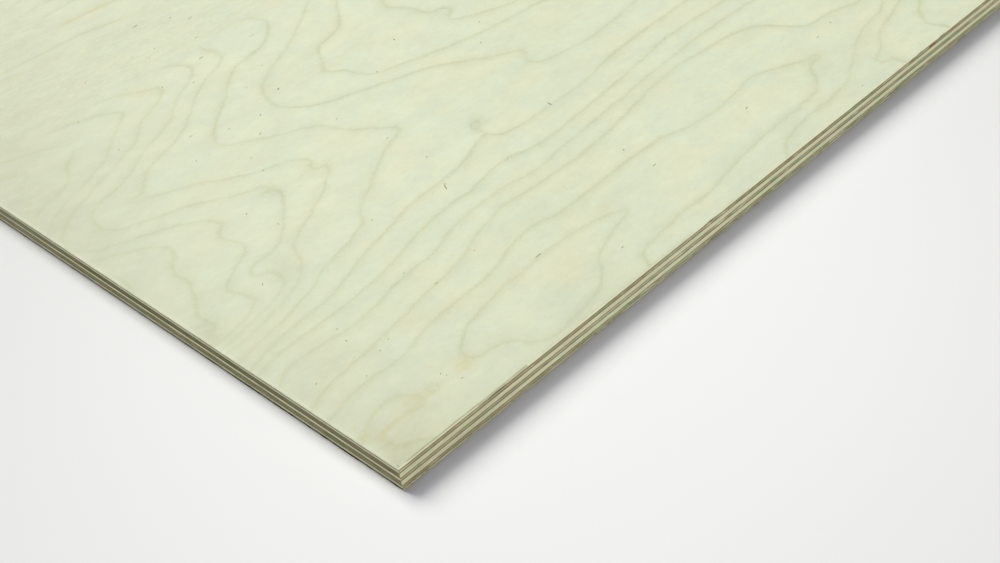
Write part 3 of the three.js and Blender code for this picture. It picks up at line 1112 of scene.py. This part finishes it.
def veneer(node, field, top_side, seed, chipped_edge, chips, edge, face):
    """An outer veneer: a figured face with an eased arris, and a sawn edge."""
    bottom, top = ply_range(node)
    shown = top - FACE_SINK if top_side else bottom
    drops, setback = veneer_rows(abs(shown - (bottom if top_side else top)), top_side)
    heights = shown - drops if top_side else shown + drops
    fray = np.outer(np.interp(drops, *FRAY_SHARES), FACE_FRAY if top_side else BACK_FRAY)
    depths = [edge_depth(z, True, seed, frayed, chipped_edge, chips) + back
              for z, frayed, back in zip(heights, fray, setback)]
    if top_side:
        lines = face_lines(FACE_FINE, FACE_FINE_CELL, FACE_CELL), even_lines(HIDDEN_CELL)
    else:
        lines = even_lines(HIDDEN_CELL), even_lines(BACK_CELL)
    mesh = PlyMesh(heights, depths, *lines)
    u, v, z = mesh.points.T
    ring = field(u, v)
    attributes = {
        "ring": ring,
        "slope": slope_of(field, u, v, ring),
        "share": (z - bottom) / (top - bottom),
        "lean": lean_of(u, v, top_side),
        "stripes": stripes_of(u, v, top_side),
        "painted_shade": painted_shade_of(u, v, top_side),
        "tan": soft_marks(u, v, TAN_MARKS) * top_side,
        "olive": soft_marks(u, v, OLIVE_MARKS) * top_side,
    }
    slots = np.array(mesh.face_slots)
    if top_side:
        slots[:len(GUARDS) * OUTLINE.count] = FACE_SLOT  # the face reaches out over the guards
    piece = make_piece(node + "_wood", mesh.points, mesh.faces, [face, edge],
                       slots.tolist(), attributes)
    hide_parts(node)


def where_seen(drawn, elsewhere, u, v):
    """What was drawn after the photo, turning into something else outside it."""
    share = seen_share(u, v)
    return drawn * share + elsewhere * (1 - share)


def lean_of(u, v, top_side):
    """0 where the wood darkens before a ring line and 1 where it darkens after it."""
    chance = smooth_step(-0.3, 0.3, smooth_noise(u, v, (300, 160), 71 + top_side))
    if not top_side:
        return chance
    away = np.hypot((u - LEAN_CENTRE[0]) / LEAN_REACH, (v - LEAN_CENTRE[1]) / LEAN_REACH)
    return where_seen(1 - smooth_step(0.75, 1.1, away), chance, u, v)


def stripes_of(u, v, top_side):
    """Where fine stripes run along the grain."""
    chance = smooth_step(0.2, 0.7, smooth_noise(u, v, (420, 90), 75 + top_side))
    if not top_side:
        return chance
    wide_band = smooth_step(320, 337, v) * (1 - smooth_step(388, 398, v))
    wide_band *= 1 - 0.7 * smooth_step(150, 230, u)
    far_band = smooth_step(404, 412, v) * (1 - smooth_step(112, 124, u))
    return where_seen(np.maximum(wide_band, far_band), chance, u, v)


def painted_shade_of(u, v, top_side):
    """Where painted shade makes the face darker and duller: by the near corner and along its edges,
    most along the short edge; further off it also takes random dull patches.
    """
    corner = 0.22 * np.exp(-((u / 34) ** 2 + (v / 34) ** 2))
    edge = 0.6 * np.exp(-u / 45) + 0.2 * np.exp(-v / 30)
    edge += 0.75 * smooth_step(130, 340, v) * np.exp(-u / 75)
    edge += 0.4 * np.exp(-(((u - 115) / 45) ** 2) - v / 9) + 0.2 * smooth_step(290, 420, v)
    edge *= 0.5 + 0.5 * smooth_step(0.4, 2.2, u)
    far = 0.25 * np.maximum(smooth_noise(u, v, (260, 150), 79), 0) + 0.6 * np.exp(-u / 45)
    far += 0.4 * np.exp(-u / 75) + 0.15 * np.exp(-u / 250) * smooth_step(290, 420, v)
    painted_shade = np.clip(where_seen(corner + edge, far, u, v), 0, 1)
    return painted_shade * (1.0 if top_side else BACK_PAINTED_SHADE)


def lens(place, length, width, turn, rng):
    """A pith fleck, as a thin closed lens with a ragged outline: its points and its faces."""
    angles = np.arange(FLECK_CORNERS) * 2 * math.pi / FLECK_CORNERS
    reach = 1 + rng.uniform(*FLECK_RAGGED, FLECK_CORNERS)
    x, y = np.cos(angles) * length / 2 * reach, np.sin(angles) * width / 2 * reach
    c, s = math.cos(math.radians(turn)), math.sin(math.radians(turn))
    z = TOP - FACE_SINK + FLECK_RISE
    rim = np.column_stack([place[0] + x * c - y * s, place[1] + x * s + y * c,
                           np.full(FLECK_CORNERS, z + FLECK_THICKNESS / 2)])
    points = np.vstack([rim, [*place, z + FLECK_THICKNESS], [*place, z]])
    faces = []
    for k in range(FLECK_CORNERS):
        after = (k + 1) % FLECK_CORNERS
        faces += [(k, after, FLECK_CORNERS), (after, k, FLECK_CORNERS + 1)]
    return points, faces


def pith_flecks():
    """The flecks in the face veneer: those drawn near the corner, and scattered ones."""
    rng = np.random.default_rng(17)
    flecks = list(FLECKS)
    for _ in range(RANDOM_FLECKS):
        u, v = rng.uniform(4, LENGTH - 4), rng.uniform(4, WIDTH - 4)
        length = rng.uniform(0.6, 2.2)
        width = rng.uniform(0.2, 0.55)
        darkness = rng.uniform(0.1, 0.6)
        turn = rng.normal(0, 25)
        share = FLECK_SHARE_SEEN if seen_share(np.array(u), np.array(v)) == 1 else 1
        flecks.append((u, v, length * share, width, turn, darkness * share))
    lenses = [lens((u, v), FLECK_LENGTH * length, FLECK_WIDTH * width, turn, rng)
              for u, v, length, width, turn, _ in flecks]
    points, faces = join_parts(lenses)
    tone = np.repeat([FLECK_DARKNESS * darkness for *_, darkness in flecks], FLECK_CORNERS + 2)
    make_piece("pith_flecks", points, faces, [fleck_material()],
               attributes={"tone": tone}, smooth=False)


def blade(start, end, width, depth):
    """A thin closed splinter from start to end, widest a third of the way along and kept inside
    the sheet's box."""
    start, end = np.array(start, float), np.array(end, float)
    belly = start + (end - start) / 3
    far_u, far_v, _ = abs(end - start)
    out = [0, width / 2, 0] if far_u > far_v else [width / 2, 0, 0]
    points = np.array([start, belly - out, belly + [0, 0, depth], belly + out, end])
    points[:, 1] = np.maximum(points[:, 1], INSIDE)
    points[:, 2] = np.clip(points[:, 2], INSIDE, TOP - INSIDE)
    return points, [(0, 1, 2), (0, 2, 3), (0, 3, 1), (4, 2, 1), (4, 3, 2), (4, 1, 3)]


def splinters():
    """Loose fibres where the saw tore the face veneer, all inside the sheet's outline. They
    start just under the face and point along the edge."""
    rng = np.random.default_rng(29)
    highest = TOP - FACE_SINK
    blades = []
    for start, end, count in SPLINTERED:
        for _ in range(count):
            u, v, z = rng.uniform(start, end), rng.uniform(0.08, 0.33), highest - rng.uniform(0.05, 0.5)
            tip = (u + rng.uniform(1.2, 4.5), max(0.02, v - rng.uniform(0, 0.2)),
                   z + rng.uniform(-0.3, 0.03))
            blades.append(blade((u, v, z), tip, rng.uniform(0.1, 0.28), rng.uniform(0.08, 0.2)))
    for u, drop, length, rise in SLIVERS:
        tip = (u + length, 0.08, min(highest - drop + rise, highest))
        blades.append(blade((u, 0.2, highest - drop), tip, 0.2, 0.16))
    add_blades("splinters", blades, splinter_material("splinter", SPLINTER_COLOURS))


def back_fibres():
    """The fringe that the saw left along the back veneer's long edge."""
    rng = np.random.default_rng(53)
    blades = []
    for _ in range(BACK_FIBRES):
        u, v, z = rng.uniform(2, BACK_FRINGE), rng.uniform(0.1, 0.35), rng.uniform(0.05, 0.8)
        tip = (u + rng.uniform(0.8, 3.5), max(INSIDE, v - 0.3), max(INSIDE, z - rng.uniform(0, 0.5)))
        blades.append(blade((u, v, z), tip, rng.uniform(0.1, 0.25), rng.uniform(0.08, 0.2)))
    add_blades("back_fibres", blades, splinter_material("back_fibre", BACK_FIBRE_COLOURS))


def add_blades(name, blades, material):
    points, faces = join_parts(blades)
    make_piece(name, points, faces, [material], smooth=False)


def join_parts(parts):
    points, faces, count = [], [], 0
    for more_points, more_faces in parts:
        points.append(more_points)
        faces += [tuple(k + count for k in face) for face in more_faces]
        count += len(more_points)
    return np.concatenate(points), faces


# ---------------------------------------------------------------- the scene


def make_camera():
    heading, down, roll = (math.radians(a) for a in (CAMERA_HEADING, CAMERA_DOWN, CAMERA_ROLL))
    forward = Vector((math.cos(down) * math.cos(heading), math.cos(down) * math.sin(heading),
                      -math.sin(down)))
    level_right = forward.cross(Vector((0, 0, 1))).normalized()
    level_up = level_right.cross(forward)
    right = level_right * math.cos(roll) + level_up * math.sin(roll)
    up = right.cross(forward)
    data = bpy.data.cameras.new("camera")
    data.lens = CAMERA_LENS
    data.sensor_width = CAMERA_SENSOR
    data.clip_start, data.clip_end = CAMERA_CLIP
    camera = add_object("camera", data)
    corner = Vector((CAD_LOW.x, CAD_LOW.y, CAD_HIGH.z))
    turn = Matrix((right, up, -forward)).transposed().to_4x4()
    camera.matrix_world = Matrix.Translation(corner + CAMERA_FROM_CORNER) @ turn
    bpy.context.scene.camera = camera


def make_sun(name, heading, height, across, level, colour):
    a, e = math.radians(heading), math.radians(height)
    towards = Vector((math.cos(e) * math.cos(a), math.cos(e) * math.sin(a), math.sin(e)))
    data = bpy.data.lights.new(name, "SUN")
    data.angle = math.radians(across)
    data.energy = level * math.pi
    data.color = colour
    sun = add_object(name, data)
    sun.rotation_mode = "QUATERNION"
    sun.rotation_quaternion = (-towards).to_track_quat("-Z", "Y")


def make_world():
    """An even sky that lights softly, and looks pale to the camera and in reflections."""
    world = bpy.data.worlds.new("sky")
    bpy.context.scene.world = world
    world.use_nodes = True
    s = Nodes(world.node_tree)
    rays = s.node("ShaderNodeLightPath", {}).outputs
    kinds = ("Is Camera Ray", "Is Glossy Ray", "Is Transmission Ray")
    camera, glossy, through = (Wire(s, rays[kind]) for kind in kinds)
    seen = s.math("MAXIMUM", s.math("MAXIMUM", camera, glossy), through)
    light = s.wire("ShaderNodeBackground", {"Color": (*SKY_COLOUR, 1), "Strength": SKY_LEVEL})
    shown = s.wire("ShaderNodeBackground", {"Color": (*SKY_SEEN, 1)})
    mixed = s.wire("ShaderNodeMixShader", {0: seen, 1: light, 2: shown})
    s.node("ShaderNodeOutputWorld", {"Surface": mixed})


def floor_material():
    """Matt white with a painted pool of light round FLOOR_CENTRE, squeezed one way, and a painted tint
    beside the sheet.
    """
    s = Shader("floor")
    x, y, _ = s.parts(s.place)
    out_x = s.math("MAXIMUM", x * -1.0, x - LENGTH)
    out_y = s.math("MAXIMUM", y * -1.0, y - WIDTH)
    beside = s.math("MAXIMUM", out_x, out_y)
    x, y = x - FLOOR_CENTRE[0], y - FLOOR_CENTRE[1]
    turn = math.radians(FLOOR_TURN)
    along = x * math.cos(turn) + y * math.sin(turn)
    across = (y * math.cos(turn) - x * math.sin(turn)) * FLOOR_SQUEEZE
    out = s.math("SQRT", along * along + across * across)
    # The painted pool of light: near is 1 at its centre and falls off outwards.
    near = s.math("POWER", math.e, s.math("POWER", out / FLOOR_REACH, FLOOR_POWER) * -1.0)
    far = s.ramp(out, *FLOOR_RISE, 0.0, FLOOR_PALE_AGAIN)
    level = s.line(s.math("MAXIMUM", near, far), 0, 1, FLOOR_DIM, FLOOR_WHITE)
    # Painted tint beside the sheet, for the sky light it hides and the light the wood throws back.
    blue = s.ramp(beside, *FLOOR_AT_EDGE, FLOOR_BLUE_AT_EDGE, 1.0)
    blue = blue * s.ramp(beside, *FLOOR_BESIDE, FLOOR_BLUE_BESIDE, FLOOR_BLUE)
    return s.finish(s.scaled(s.joined(1.0, 1.0, blue), level), FLOOR_ROUGHNESS, 0.0)


def make_floor():
    half = FLOOR_SIZE / 2
    z = CAD_LOW.z - FLOOR_DROP
    mesh = bpy.data.meshes.new("floor")
    corners = [(-half, -half, z), (half, -half, z), (half, half, z), (-half, half, z)]
    mesh.from_pydata(corners, [], [(0, 1, 2, 3)])
    mesh.materials.append(floor_material())
    floor = add_object("floor", mesh)


def make_sheet():
    """The outer plies, the inner ones, the glue between them, and what shows on the face and
    stands out from the edges."""
    face_edge = veneer_edge_material("face_veneer_edge", 11.0, True, *FACE_EDGE)
    back_edge = veneer_edge_material("back_veneer_edge", 23.0, False, *BACK_EDGE)
    veneer("face_veneer", FaceRings(), True, 201, LONG_EDGE, FACE_CHIPS, face_edge,
           face_material("birch_face", True))
    veneer("back_veneer", back_rings, False, 231, SHORT_EDGE, BACK_CHIPS, back_edge,
           face_material("birch_back", False))
    for ply in INNER_PLIES:
        inner_ply(*ply)
    glue = glue_material()
    for name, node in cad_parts.items():
        if name.startswith("glue_line"):
            node.data.materials.clear()
            node.data.materials.append(glue)
    pith_flecks()
    splinters()
    back_fibres()


bpy.context.scene.view_settings.view_transform = "Standard"
make_camera()
make_world()
for sun in SUNS:
    make_sun(*sun)
make_floor()
make_sheet()

bpy.context.view_layer.update()
